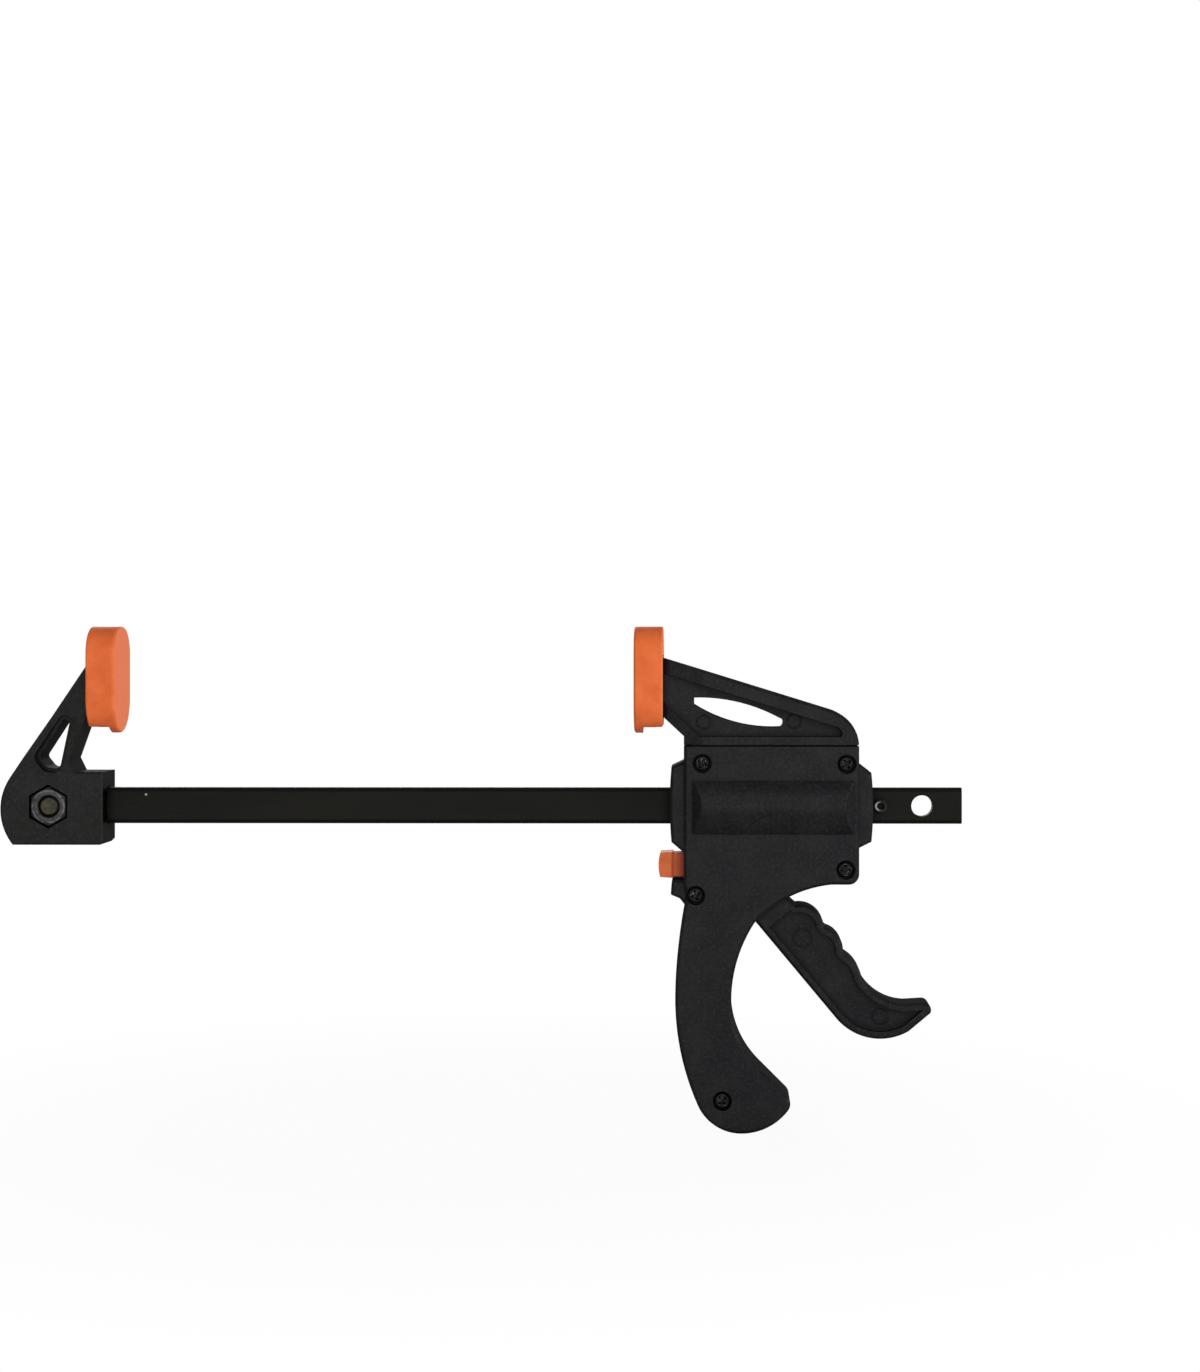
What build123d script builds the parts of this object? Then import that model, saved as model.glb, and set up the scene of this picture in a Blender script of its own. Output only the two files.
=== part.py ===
from build123d import *
import os
from math import cos, radians, sin, tan

# Quick release bar clamp, in millimetres, +Z up, fully open.
# Origin: centre of the fixed pad's working face. +X runs along the bar towards the moving jaw,
# +Z from the bar towards the pads. The cover and its screws face -Y, the wing knob faces +Y.
#
# Each piece is drawn with the bar's axis at z = 0, the fixed jaw with its pad's face at x = 0
# and the moving jaw, with what it holds, with its own pad's face at x = 0.
# Pairs of numbers are (x, z) unless their comment says otherwise.

# Clearances
FIT = 0.1                   # between pieces that are assembled and stay together
RUNNING = 0.3               # between pieces that move past each other
PIN_FIT = 0.02              # radial, pins and screws in their holes
SHAFT_FIT = 0.06            # radial, shafts and pins that turn in their holes

# Clamp
OPENING = 150.0             # greatest distance between the pads
PAD_CENTRE = 36.7           # height of the pads' centre above the bar's axis

# Bar and its two spring pins
BAR_HEIGHT = 10.5
BAR_THICKNESS = 4.0
BAR_EDGE = 1.2              # rounding of the long edges
BAR_HOLE_INSET = 11.6       # holes' centres from the bar's ends
BAR_HOLE_DIAMETER = 6.2
STOP_PIN_INSET = 23.7       # pins' centres from the bar's ends
STOP_PIN_DIAMETER = 4.0
STOP_PIN_BORE = 2.2
STOP_PIN_BORE_DEPTH = 2.6   # from both ends
STOP_PIN_CHAMFER = 0.3
STOP_PIN_PROUD = 1.2        # on each side of the bar
STOP_GAP = 0.4              # between the open jaw's barrel and its stop pin

# Pads: soft caps over the jaws' end plates
PAD_WIDTH = 20.0
PAD_HEIGHT = 31.0
PAD_THICKNESS = 8.4
PAD_CORNER = 8.0
PAD_FACE = 2.5              # layer in front of the end plate
PAD_WALL = 1.3
PAD_LIP = 1.9               # lips behind the end plate
PAD_WALL_END = 1.7          # walls' and lips' lower end, above the pad's lowest point
PAD_FACE_EDGE = 0.8         # rounding around the working face
PAD_EDGE = 0.5
NECK_THICKNESS = 11.5       # jaw arms where they enter the pads
NECK_SLOT_TOP = 7.2         # top of the pad's slot, above the pad's centre
NECK_SLOT_CORNER = 1.0

# Fixed jaw
JAW_THICKNESS = 15.0
JAW_FACE = -3.9             # block's face towards the moving jaw
JAW_TOP = 10.0
JAW_BOTTOM = -11.1
JAW_CORNER = 1.0
JAW_EDGE = 0.5
JAW_HEEL = ((-31.0, 8.4), (-33.8, -1.3), (-30.2, -11.1))
JAW_FOOT = (-12.2, 10.0)    # arm's inner edge on the block
JAW_WAIST = (-14.0, 13.7)
JAW_NECK = (28.2, 42.0)     # arm's lowest and highest point behind the pad
JAW_TAPER = (10.0, 26.0)    # heights between which the arm thins to the neck
JAW_BOLT = -19.8            # wing screw's axis
JAW_SLOT = ((-15.8, 25.5), (-14.1, 24.7), (-17.0, 10.9), (-20.6, 11.1), (-23.1, 14.3))
JAW_SLOT_RADII = (0.9, 0.8, 1.6, 2.4, 1.2)
JAW_POCKET_RIM = 1.1        # shallow pocket's edge around the slot
JAW_POCKET_DEPTH = 2.5
BAR_END_CLEARANCE = 0.2

# Wing screw and its nut
BOLT_DIAMETER = 6.0
BOLT_SHORT = 0.9            # bolt's end below the nut's face
BOLT_IN_KNOB = 6.0
NUT_ACROSS_FLATS = 10.0
NUT_HEIGHT = 4.7
NUT_CHAMFER = 0.4
NUT_RECESS = 0.1            # nut's face below the jaw's
NUT_POCKET_ACROSS_FLATS = 11.1
KNOB_DIAMETER = 13.8
KNOB_DISC = 3.2
KNOB_HUB_DIAMETER = 7.4
KNOB_EDGE = 0.7
WING_LENGTH = 20.6
WING_THICKNESS = 3.8
WING_HEIGHT = 7.2           # above the disc
WING_FOOT = 6.2             # half length of the wing on the disc
WING_SHOULDER = 2.6         # height where the wing is at its longest
WING_CORNERS = (0.8, 1.2, 2.2, 2.2, 1.2, 0.8)
WING_ANGLE = 26.6           # wing's rise from the bar's direction

# Housing: body, barrel and arm
HOUSING_THICKNESS = 18.0
HOUSING_EDGE = 0.8
BODY_NEAR = 14.5            # body's side towards the jaws
BODY_FAR = 65.1
BODY_BOTTOM = -22.3
BODY_CORNER = 3.0
BARREL_OVERHANG = 4.1       # barrel's ends beyond the body's sides
BARREL_BOW = 0.5
BARREL_STEP = 1.0           # barrel's ends and the horn below the body's sides
BARREL_NEAR_HEIGHTS = (13.3, 11.6, -10.1, -13.2)  # shoulders, top to bottom
BARREL_FAR_HEIGHTS = (12.7, 9.9, -10.0, -11.8)
BULGE_RADIUS = 11.9
BULGE_NEAR = 16.9
BULGE_FAR = 63.9
BULGE_BEVEL = 2.7
PARTING_HEIGHT = 18.0       # cover's upper edge
PARTING_GAP = 0.45
ARM_NECK = (26.1, 43.1)     # arm's lowest and highest point behind the pad
ARM_SLOPE = 17.2            # degrees
ARM_SHOULDER_RADIUS = 11.0
ARM_FOOT = 20.5             # where the arm's underside meets the body
ARM_TAPER_END = 20.0        # arm has the body's thickness from here on
ARM_WEB = 10.5
ARM_RIM = 4.3               # upper rim's height
ARM_POCKET = ((18.9, 20.4), (59.9, 20.4), (60.3, 21.4), (59.2, 23.3))
ARM_POCKET_NECK = 30.3      # pocket's lower edge behind the pad
LENS = ((17.4, 31.6), (31.0, 30.1), (42.2, 25.7))
LENS_UNDERSIDE = ((42.4, 23.0), (30.0, 24.2), (17.4, 29.6))
LENS_END = (43.3, 24.4)

# Housing: grip and the horn under the release button
UNDERSIDE = ((57.0, -22.3), (46.3, -25.2), (35.0, -33.2))
GRIP_FRONT = ((29.8, -44.5), (28.2, -56.0), (36.3, -75.4))
GRIP_LIP = 11.3             # straight stretch before the rounded tip
GRIP_BACK = ((44.6, -87.5), (31.0, -94.2), (18.5, -86.0), (12.0, -54.0), (15.2, -26.0))
GRIP_POCKET = (-46.0, -78.0)  # heights of the grip's hollow
GRIP_WALL = 2.4
HORN = ((16.0, -21.1), (11.0, -21.1), (10.7, -25.3), (13.3, -26.4), (15.4, -29.0))
HORN_CORNERS = (0, 0.9, 0.5, 0.8, 0)

# Housing screws, pan heads with a cross recess
SCREW_DIAMETER = 2.9
SCREW_LENGTH = 11.0
SCREW_HEAD_DIAMETER = 4.7
SCREW_HEAD_HEIGHT = 1.8
SCREW_HEAD_ROUND = 0.7
SCREW_CROSS = (3.0, 0.7, 0.9)  # length, width and depth
COUNTERBORE_DIAMETER = 5.6
COUNTERBORE_DEPTH = 2.5
SCREW_PLACES = ((19.8, 12.7), (61.5, 12.5), (61.2, -18.0), (17.9, -25.4), (25.6, -84.7))

# Gripping mechanism inside the housing
PLATE_WIDTH = 13.0
PLATE_SIDE_GAP = 0.5        # between the plates' sides and the housing
TUNNEL_RADIUS = 8.6         # bore for the springs
TUNNEL_FAR = 62.0
RIB_PLACE = 32.3            # lock spring's seat
RIB_THICKNESS = 1.4
LOCK_INSET = 9.5            # lock plate's upper end, where it tilts, from the body's near side
LOCK_HEIGHT = 8.5
LOCK_THICKNESS = 2.5
LOCK_TILT = 7.0             # degrees, at rest
LOCK_ABOVE = 0.6            # plate above its hinge line
LOCK_BELOW = 29.0           # plate below its hinge line
LOCK_HOLE_PLAY = 0.5        # above and below the bar
LOCK_ROOM_FLOOR = -21.4
BUTTON_ROOM_TOP = -12.4
DRIVE_PLATE_THICKNESS = 2.0
DRIVE_PLATE_SPAN = (-13.0, 9.4)
DRIVE_TRAVEL = 4.8
SPRING_RADIUS = 7.4         # wire's centre line
SPRING_WIRE = 1.0
SPRING_SIDES = 6            # of the wire's section
DRIVE_SPRING_TURNS = 5
LOCK_SPRING_TURNS = 2

# Release button
BUTTON_CENTRE = -17.0       # height
BUTTON_HEAD = (4.2, 9.0, 7.5)  # length, width and height
BUTTON_NECK = (7.4, 6.8)    # width and height
BUTTON_FACE = 7.1           # middle of its crowned face
BUTTON_FACE_HEIGHT = 7.0    # head narrows to this at its face
BUTTON_CROWN = 0.5
BUTTON_EARS = (1.5, 11.8)   # length and width
WINDOW_WALL = 2.4           # housing wall around the button's neck

# Trigger; its outline's x runs down its straight back edge and its y towards the fingers
TRIGGER_PLACE = (35.2, -33.3)
TRIGGER_ANGLE = 50.1        # of the back edge below the bar's direction
TRIGGER_THICKNESS = 12.0
TRIGGER_EDGE = 0.8
TRIGGER_ROOT = ((-13.6, 4.9), (-7.5, 0))
TRIGGER_BACK_END = 36.5
TRIGGER_HEEL = (52.8, 13.7)
TRIGGER_TIP = ((52.8, 21.9), (51.3, 23.1), (49.2, 22.3))
TRIGGER_HOLLOW = ((46.0, 18.0), (39.5, 13.8), (32.0, 13.3))
FINGER_VALLEYS = ((32.0, 13.3), (23.1, 13.7), (14.0, 14.3), (3.8, 12.1))
FINGER_RISES = (1.1, 1.8, 2.3)  # bumps above the line between their valleys
FINGER_ROUND = 1.5
TRIGGER_RIM = 2.1
TRIGGER_WEB = 8.6
TRIGGER_POCKET_TOP = 3.8
PIVOT = (36.5, -19.5)
PIVOT_PIN_DIAMETER = 4.0
PIVOT_PIN_DEPTH = 1.4       # in each housing wall
PIVOT_BOSS_RADIUS = 6.3
NOSE_HEIGHT = 11.2          # nose's centre above the pivot
NOSE_RADIUS = 2.5
TRIGGER_ROOM = ((33.7, -5.0), (33.7, -12.4), (29.3, -15.6), (26.9, -23.0), (28.5, -33.0),
                (31.0, -42.0), (47.0, -42.0), (47.0, -5.0))

# Values that follow
BAR_START = JAW_BOLT - BAR_HOLE_INSET
BARREL_NEAR = BODY_NEAR - BARREL_OVERHANG
BARREL_FAR = BODY_FAR + BARREL_OVERHANG
FREE_STOP = OPENING + BARREL_FAR + STOP_GAP + STOP_PIN_DIAMETER / 2
BAR_END = FREE_STOP + STOP_PIN_INSET
ROOM_WIDTH = PLATE_WIDTH + 2 * PLATE_SIDE_GAP
PLATE_BACK = PAD_THICKNESS - PAD_LIP       # end plates' backs behind the pads' faces
BOLT_END = -JAW_THICKNESS / 2 + NUT_RECESS + BOLT_SHORT
DRIVE_PLATE_START = PIVOT[0] + NOSE_RADIUS + RUNNING
LOCK_HINGE = (BODY_NEAR + LOCK_INSET, LOCK_HEIGHT)
WALL = HOUSING_THICKNESS / 2
BUTTON_ROOM_START = BODY_NEAR + WINDOW_WALL
FAR_OUTSIDE = 100.0         # beyond everything across the clamp


# Helpers

def slab(outline, near, far):
    """Extrude an outline of the XZ plane from y = near to y = far."""
    return extrude(Plane.XZ.offset(-far) * outline, far - near)


def centred_slab(outline, thickness):
    """Extrude an outline of the XZ plane to both sides of the middle plane."""
    return slab(outline, -thickness / 2, thickness / 2)


def bevelled_slab(outline, thickness, bevel):
    """Centred slab with bevelled edges around both faces."""
    rim = thickness / 2 - bevel
    near_bevel = extrude(Plane.XZ.offset(rim) * outline, bevel, taper=45)
    return slab(outline, -rim, rim) + near_bevel + mirror(near_bevel, about=Plane.XZ)


def across(diameter, place, near, far):
    """Cylinder across the clamp from y = near to y = far."""
    middle = Pos(place[0], (near + far) / 2, place[1])
    return middle * Rot(90, 0, 0) * Cylinder(diameter / 2, far - near)


def along(radius, near, far):
    """Cylinder around the bar's axis from x = near to x = far."""
    return Pos((near + far) / 2, 0, 0) * Rot(0, 90, 0) * Cylinder(radius, far - near)


def block(x_span, width, z_span):
    """Box on the middle plane between two x and two z limits."""
    centre = Pos(sum(x_span) / 2, 0, sum(z_span) / 2)
    return centre * Box(x_span[1] - x_span[0], width, z_span[1] - z_span[0])


def polygon(*points):
    """Closed outline through the points."""
    return make_face(Polyline(*points, close=True))


def bar_room(near, far, clearance):
    """Passage for the bar from x = near to x = far."""
    half_height = BAR_HEIGHT / 2 + clearance
    return block((near, far), BAR_THICKNESS + 2 * clearance, (-half_height, half_height))


# Bar

def bar():
    """Flat bar with a bolt hole and a spring pin's hole near each end."""
    half_height = BAR_HEIGHT / 2
    flat = block((BAR_START, BAR_END), BAR_THICKNESS, (-half_height, half_height))
    flat = fillet(flat.edges().filter_by(Axis.X), BAR_EDGE)
    for end, inwards in ((BAR_START, 1), (BAR_END, -1)):
        bolt_hole = (end + inwards * BAR_HOLE_INSET, 0)
        pin_hole = (end + inwards * STOP_PIN_INSET, 0)
        flat -= across(BAR_HOLE_DIAMETER, bolt_hole, -FAR_OUTSIDE, FAR_OUTSIDE)
        flat -= across(STOP_PIN_DIAMETER + 2 * PIN_FIT, pin_hole, -FAR_OUTSIDE, FAR_OUTSIDE)
    return flat


def stop_pin(x):
    """Pin with chamfered ends and a blind bore from each end."""
    half_length = BAR_THICKNESS / 2 + STOP_PIN_PROUD
    bore_end = half_length - STOP_PIN_BORE_DEPTH
    pin = across(STOP_PIN_DIAMETER, (x, 0), -half_length, half_length)
    pin = chamfer(pin.edges().filter_by(GeomType.CIRCLE), STOP_PIN_CHAMFER)
    pin -= across(STOP_PIN_BORE, (x, 0), -FAR_OUTSIDE, -bore_end)
    return pin - across(STOP_PIN_BORE, (x, 0), bore_end, FAR_OUTSIDE)


# Pads and the plates inside them, with the working face at x = 0 and the pad behind it

def pad_outline(inset):
    """Pad seen along the bar, with round upper corners and a round lower end."""
    half_width = PAD_WIDTH / 2 - inset
    top = PAD_HEIGHT / 2 - inset
    round_centre = (PAD_WIDTH - PAD_HEIGHT) / 2
    upper = Pos(0, (top + round_centre) / 2) * Rectangle(2 * half_width, top - round_centre)
    upper = fillet(upper.vertices().group_by(Axis.Y)[-1], PAD_CORNER - inset)
    return upper + Pos(0, round_centre) * Circle(half_width)


def pad_layer(inset, near, far):
    """Solid of the pad's outline between two distances behind the working face."""
    return extrude(Plane.YZ.offset(-far) * pad_outline(inset), far - near)


def below_plate(near):
    """Space under the pad's walls, from a distance behind the working face."""
    wall_end = PAD_WALL_END - PAD_HEIGHT / 2
    return block((-PAD_THICKNESS - FIT, -near), PAD_WIDTH, (-PAD_HEIGHT, wall_end))


def pad():
    """Soft cap: a face, side walls and lips around a slot for the jaw's arm."""
    slot_height = PAD_HEIGHT + NECK_SLOT_TOP
    slot = Rectangle(NECK_THICKNESS + 2 * FIT, slot_height)
    slot = fillet(slot.vertices().group_by(Axis.Y)[-1], NECK_SLOT_CORNER)
    slot = Pos(0, NECK_SLOT_TOP - slot_height / 2) * slot
    cap = pad_layer(0, 0, PAD_THICKNESS)
    back, face = cap.faces().filter_by(Axis.X).sort_by(Axis.X)
    cap = fillet(face.edges(), PAD_FACE_EDGE)
    back = cap.faces().filter_by(Axis.X).sort_by(Axis.X)[0]
    cap = fillet(back.edges(), PAD_EDGE)
    cap -= pad_layer(PAD_WALL, PAD_FACE, PLATE_BACK)
    cap -= extrude(Plane.YZ.offset(-PAD_THICKNESS - FIT) * slot, PAD_THICKNESS - PAD_FACE)
    return cap - below_plate(PAD_FACE)


def end_plate():
    """Plate of a jaw that the pad is pushed over."""
    plate = pad_layer(PAD_WALL + FIT, PAD_FACE + FIT, PLATE_BACK - FIT)
    return plate - below_plate(0)


def seated(piece, x):
    """Put a piece drawn around a pad's centre where the pad's face is at x."""
    return Pos(x, 0, PAD_CENTRE) * piece


# Fixed jaw

def fixed_jaw_outline():
    """Block around the bar's end, with the arm that leans towards the pad."""
    arm_end = FIT - PLATE_BACK
    edge = Polyline(
        JAW_HEEL[2],
        (JAW_FACE - JAW_CORNER, JAW_BOTTOM),
        (JAW_FACE, JAW_BOTTOM + JAW_CORNER),
        (JAW_FACE, JAW_TOP),
        JAW_FOOT,
        JAW_WAIST,
        (-PAD_THICKNESS, JAW_NECK[0]),
        (arm_end, JAW_NECK[0]),
        (arm_end, JAW_NECK[1]),
        (-PAD_THICKNESS, JAW_NECK[1]),
        JAW_HEEL[0],
    )
    return make_face([*edge.edges(), ThreePointArc(*JAW_HEEL)])


def fixed_jaw_profile():
    """Jaw seen along the bar (y, z): the arm thins from the block's width to the neck's."""
    half_block = JAW_THICKNESS / 2
    half_neck = NECK_THICKNESS / 2
    top = JAW_NECK[1] + FIT
    right = (
        (half_block, 2 * JAW_BOTTOM),
        (half_block, JAW_TAPER[0]),
        (half_neck, JAW_TAPER[1]),
        (half_neck, top),
    )
    left = [(-y, z) for y, z in reversed(right)]
    return polygon(*right, *left)


def hexagonal_prism(across_flats, near, far):
    """Hexagon with two corners up and down, around the bolt's axis."""
    hexagon = RegularPolygon(across_flats / 2, 6, major_radius=False, rotation=30)
    return slab(Pos(JAW_BOLT, 0) * hexagon, near, far)


def fixed_jaw():
    """Fixed jaw with its slotted arm, end plate, bar socket and nut pocket."""
    slot = make_face(FilletPolyline(*JAW_SLOT, radius=list(JAW_SLOT_RADII), close=True))
    nut_floor = BOLT_END - BOLT_SHORT + NUT_HEIGHT
    pin_room = STOP_PIN_DIAMETER / 2 + RUNNING
    pin_place = BAR_START + STOP_PIN_INSET
    groove_width = BAR_THICKNESS + 2 * (STOP_PIN_PROUD + FIT)
    jaw = bevelled_slab(fixed_jaw_outline(), JAW_THICKNESS, JAW_EDGE)
    jaw &= Pos(-FAR_OUTSIDE / 2, 0, 0) * extrude(Plane.YZ * fixed_jaw_profile(), FAR_OUTSIDE)
    jaw += seated(end_plate(), 0)
    jaw -= centred_slab(slot, FAR_OUTSIDE)
    pocket = offset(slot, JAW_POCKET_RIM)
    for side in (-1, 1):
        floor = side * (JAW_THICKNESS / 2 - JAW_POCKET_DEPTH)
        jaw -= slab(pocket, *sorted((floor, side * FAR_OUTSIDE)))
    jaw -= bar_room(BAR_START - BAR_END_CLEARANCE, 0, FIT)
    jaw -= block((pin_place - pin_room, 0), groove_width, (-pin_room, pin_room))
    jaw -= across(BAR_HOLE_DIAMETER, (JAW_BOLT, 0), -FAR_OUTSIDE, FAR_OUTSIDE)
    return jaw - hexagonal_prism(NUT_POCKET_ACROSS_FLATS, -FAR_OUTSIDE, nut_floor)


def hex_nut():
    """Nut with chamfered corners, its thread as a plain bore."""
    near = NUT_RECESS - JAW_THICKNESS / 2
    far = near + NUT_HEIGHT
    corner_circle = NUT_ACROSS_FLATS / cos(radians(30))
    rounding = across(corner_circle - NUT_CHAMFER, (JAW_BOLT, 0), near, far)
    rounding = chamfer(rounding.edges().filter_by(GeomType.CIRCLE), NUT_CHAMFER)
    nut = hexagonal_prism(NUT_ACROSS_FLATS, near, far) & rounding
    return nut - across(BOLT_DIAMETER + 2 * SHAFT_FIT, (JAW_BOLT, 0), near, far)


# Wing screw

def clamp_bolt():
    """Threaded stud from the nut through the bar into the knob."""
    far = JAW_THICKNESS / 2 + FIT + BOLT_IN_KNOB
    stud = across(BOLT_DIAMETER, (JAW_BOLT, 0), BOLT_END, far)
    return chamfer(stud.edges().filter_by(GeomType.CIRCLE), BOLT_DIAMETER / 10)


def wing_knob():
    """Knob with a disc, a hub and one wing across it."""
    foot = JAW_THICKNESS / 2 + FIT
    half_length = WING_LENGTH / 2
    wing_points = (
        (-WING_FOOT, -KNOB_DISC / 2),
        (-half_length, WING_SHOULDER),
        (-half_length, WING_HEIGHT),
        (half_length, WING_HEIGHT),
        (half_length, WING_SHOULDER),
        (WING_FOOT, -KNOB_DISC / 2),
    )
    wing_outline = make_face(FilletPolyline(*wing_points, radius=list(WING_CORNERS), close=True))
    wing = extrude(Plane.XZ * wing_outline, WING_THICKNESS / 2, both=True)
    wing = fillet(wing.faces().filter_by(Axis.Y).edges(), KNOB_EDGE)
    disc = Pos(0, 0, -KNOB_DISC / 2) * Cylinder(KNOB_DIAMETER / 2, KNOB_DISC)
    disc = fillet(disc.edges().group_by(Axis.Z)[-1], KNOB_EDGE)
    hub = Pos(0, 0, WING_HEIGHT / 2) * Cylinder(KNOB_HUB_DIAMETER / 2, WING_HEIGHT)
    hub = fillet(hub.edges().group_by(Axis.Z)[-1], KNOB_EDGE)
    socket = Cylinder(BOLT_DIAMETER / 2 + PIN_FIT, BOLT_IN_KNOB)
    socket = Pos(0, 0, BOLT_IN_KNOB / 2 - KNOB_DISC) * socket
    knob = wing + disc + hub - socket
    upright = Pos(JAW_BOLT, foot + KNOB_DISC, 0) * Rot(0, -WING_ANGLE, 0) * Rot(-90, 0, 0)
    return upright * knob


# Housing

def barrel_end(side, outwards, heights):
    """Outline of one bowed barrel end; outwards is -1 or 1."""
    shoulder_top, top, bottom, shoulder_bottom = heights
    edge = side + outwards * (BARREL_OVERHANG - BARREL_BOW)
    tip = side + outwards * BARREL_OVERHANG
    inside = side - outwards * BARREL_OVERHANG
    rest = Polyline(
        (edge, bottom),
        (side, shoulder_bottom),
        (inside, shoulder_bottom),
        (inside, shoulder_top),
        (side, shoulder_top),
        (edge, top),
    )
    bow = ThreePointArc((edge, top), (tip, (top + bottom) / 2), (edge, bottom))
    return make_face([*rest.edges(), bow])


def arm_height(x):
    """Height of the arm's sloping top edge."""
    return ARM_NECK[1] - (x - PAD_THICKNESS) * tan(radians(ARM_SLOPE))


def body_and_arm_outline():
    """Body with the sloping arm above it."""
    arm_end = PLATE_BACK - FIT
    points = (
        (BODY_NEAR, BODY_BOTTOM),
        (BODY_FAR, BODY_BOTTOM),
        (BODY_FAR, arm_height(BODY_FAR)),
        (PAD_THICKNESS, ARM_NECK[1]),
        (arm_end, ARM_NECK[1]),
        (arm_end, ARM_NECK[0]),
        (PAD_THICKNESS, ARM_NECK[0]),
        (BODY_NEAR, ARM_FOOT),
    )
    radii = [0, BODY_CORNER, ARM_SHOULDER_RADIUS, 0, 0, 0, 0, 0]
    return make_face(FilletPolyline(*points, radius=radii, close=True))


def grip_outline():
    """Pistol grip with the hollow behind the trigger."""
    inside = BODY_BOTTOM + BODY_CORNER
    top = Polyline(
        GRIP_BACK[-1],
        (BODY_NEAR, BODY_BOTTOM),
        (BODY_NEAR, inside),
        (UNDERSIDE[0][0], inside),
        UNDERSIDE[0],
    )
    underside = ThreePointArc(*UNDERSIDE)
    front = ThreePointArc(UNDERSIDE[2], *GRIP_FRONT[:2])
    below = TangentArc(front @ 1, GRIP_FRONT[2], tangent=front % 1)
    edges = [*top.edges(), underside, front, below]
    edges.append(Line(below @ 1, below @ 1 + GRIP_LIP * (below % 1)))
    for end in GRIP_BACK:
        edges.append(TangentArc(edges[-1] @ 1, end, tangent=edges[-1] % 1))
    return make_face(edges)


def horn_outline():
    """Blunt horn that guards the release button."""
    return make_face(FilletPolyline(*HORN, radius=list(HORN_CORNERS), close=True))


def thinner_outlines():
    """Parts of the housing whose sides lie below the body's: barrel ends and horn."""
    return (
        barrel_end(BODY_NEAR, -1, BARREL_NEAR_HEIGHTS),
        barrel_end(BODY_FAR, 1, BARREL_FAR_HEIGHTS),
        horn_outline(),
    )


def bulge():
    """Half barrels over the springs, one on each side, with slanted ends."""
    barrel = along(BULGE_RADIUS, BULGE_NEAR, BULGE_FAR)
    slanted = (
        (BULGE_NEAR, WALL),
        (BULGE_NEAR + BULGE_BEVEL, BULGE_RADIUS),
        (BULGE_FAR - BULGE_BEVEL, BULGE_RADIUS),
        (BULGE_FAR, WALL),
    )
    other_side = [(x, -y) for x, y in reversed(slanted)]
    return barrel & extrude(polygon(*slanted, *other_side), TUNNEL_RADIUS, both=True)


def arm_taper():
    """What is taken off both sides of the arm towards the neck."""
    half_neck = NECK_THICKNESS / 2
    wedge = polygon(
        (0, half_neck),
        (PAD_THICKNESS, half_neck),
        (ARM_TAPER_END, WALL),
        (ARM_TAPER_END, FAR_OUTSIDE),
        (0, FAR_OUTSIDE),
    )
    wedges = wedge + mirror(wedge, about=Plane.XZ)
    return extrude(Plane.XY.offset(PARTING_HEIGHT) * wedges, FAR_OUTSIDE)


def arm_pocket_outline():
    """Shallow pocket in the arm, open towards the pad."""
    corner = ARM_POCKET[-1]
    return polygon(
        (PAD_THICKNESS, ARM_POCKET_NECK),
        *ARM_POCKET,
        (corner[0], arm_height(corner[0]) - ARM_RIM),
        (PAD_THICKNESS, ARM_NECK[1] - ARM_RIM),
    )


def lens_outline():
    """Slender slot through the arm, blunt towards the pad."""
    edges = [
        ThreePointArc(*LENS),
        ThreePointArc(LENS[2], LENS_END, LENS_UNDERSIDE[0]),
        ThreePointArc(*LENS_UNDERSIDE),
        Line(LENS_UNDERSIDE[2], LENS[0]),
    ]
    return make_face(edges)


def lock_room_outline():
    """Room for the tilting lock plate and for the release button's ears."""
    back = LOCK_HINGE[0] - LOCK_THICKNESS / 2 - RUNNING - FIT
    top = LOCK_HINGE[1] + LOCK_ABOVE + RUNNING
    lean = (top - BUTTON_ROOM_TOP) * tan(radians(LOCK_TILT))
    front = LOCK_HINGE[0] + LOCK_THICKNESS
    return polygon(
        (back, top),
        (back - lean, BUTTON_ROOM_TOP),
        (BUTTON_ROOM_START, BUTTON_ROOM_TOP),
        (BUTTON_ROOM_START, LOCK_ROOM_FLOOR),
        (front, LOCK_ROOM_FLOOR),
        (front, top),
    )


def mechanism_rooms():
    """Rooms and bores inside the body."""
    rib_end = RIB_PLACE + RIB_THICKNESS
    drive_end = DRIVE_PLATE_START + 2 * DRIVE_PLATE_THICKNESS + DRIVE_TRAVEL + RUNNING
    drive_span = (DRIVE_PLATE_SPAN[0] - RUNNING, DRIVE_PLATE_SPAN[1] + RUNNING)
    rooms = bar_room(BARREL_NEAR - FIT, BARREL_FAR + FIT, RUNNING)
    rooms += centred_slab(lock_room_outline(), ROOM_WIDTH)
    rooms += along(TUNNEL_RADIUS, LOCK_HINGE[0], RIB_PLACE)
    rooms += along(TUNNEL_RADIUS, rib_end, TUNNEL_FAR)
    rooms += block((rib_end, drive_end), ROOM_WIDTH, drive_span)
    rooms += centred_slab(polygon(*TRIGGER_ROOM), TRIGGER_THICKNESS + 4 * RUNNING)
    return rooms


def grip_hollow():
    """Hollow inside the grip's middle."""
    x_span = (0, BODY_FAR)
    band = block(x_span, HOUSING_THICKNESS - 2 * GRIP_WALL, sorted(GRIP_POCKET))
    return band & centred_slab(offset(grip_outline(), -GRIP_WALL), HOUSING_THICKNESS)


def button_window():
    """Opening for the release button's neck."""
    half_height = BUTTON_NECK[1] / 2 + RUNNING
    z_span = (BUTTON_CENTRE - half_height, BUTTON_CENTRE + half_height)
    return block((BARREL_NEAR, BUTTON_ROOM_START + FIT), BUTTON_NECK[0] + 2 * RUNNING, z_span)


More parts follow.
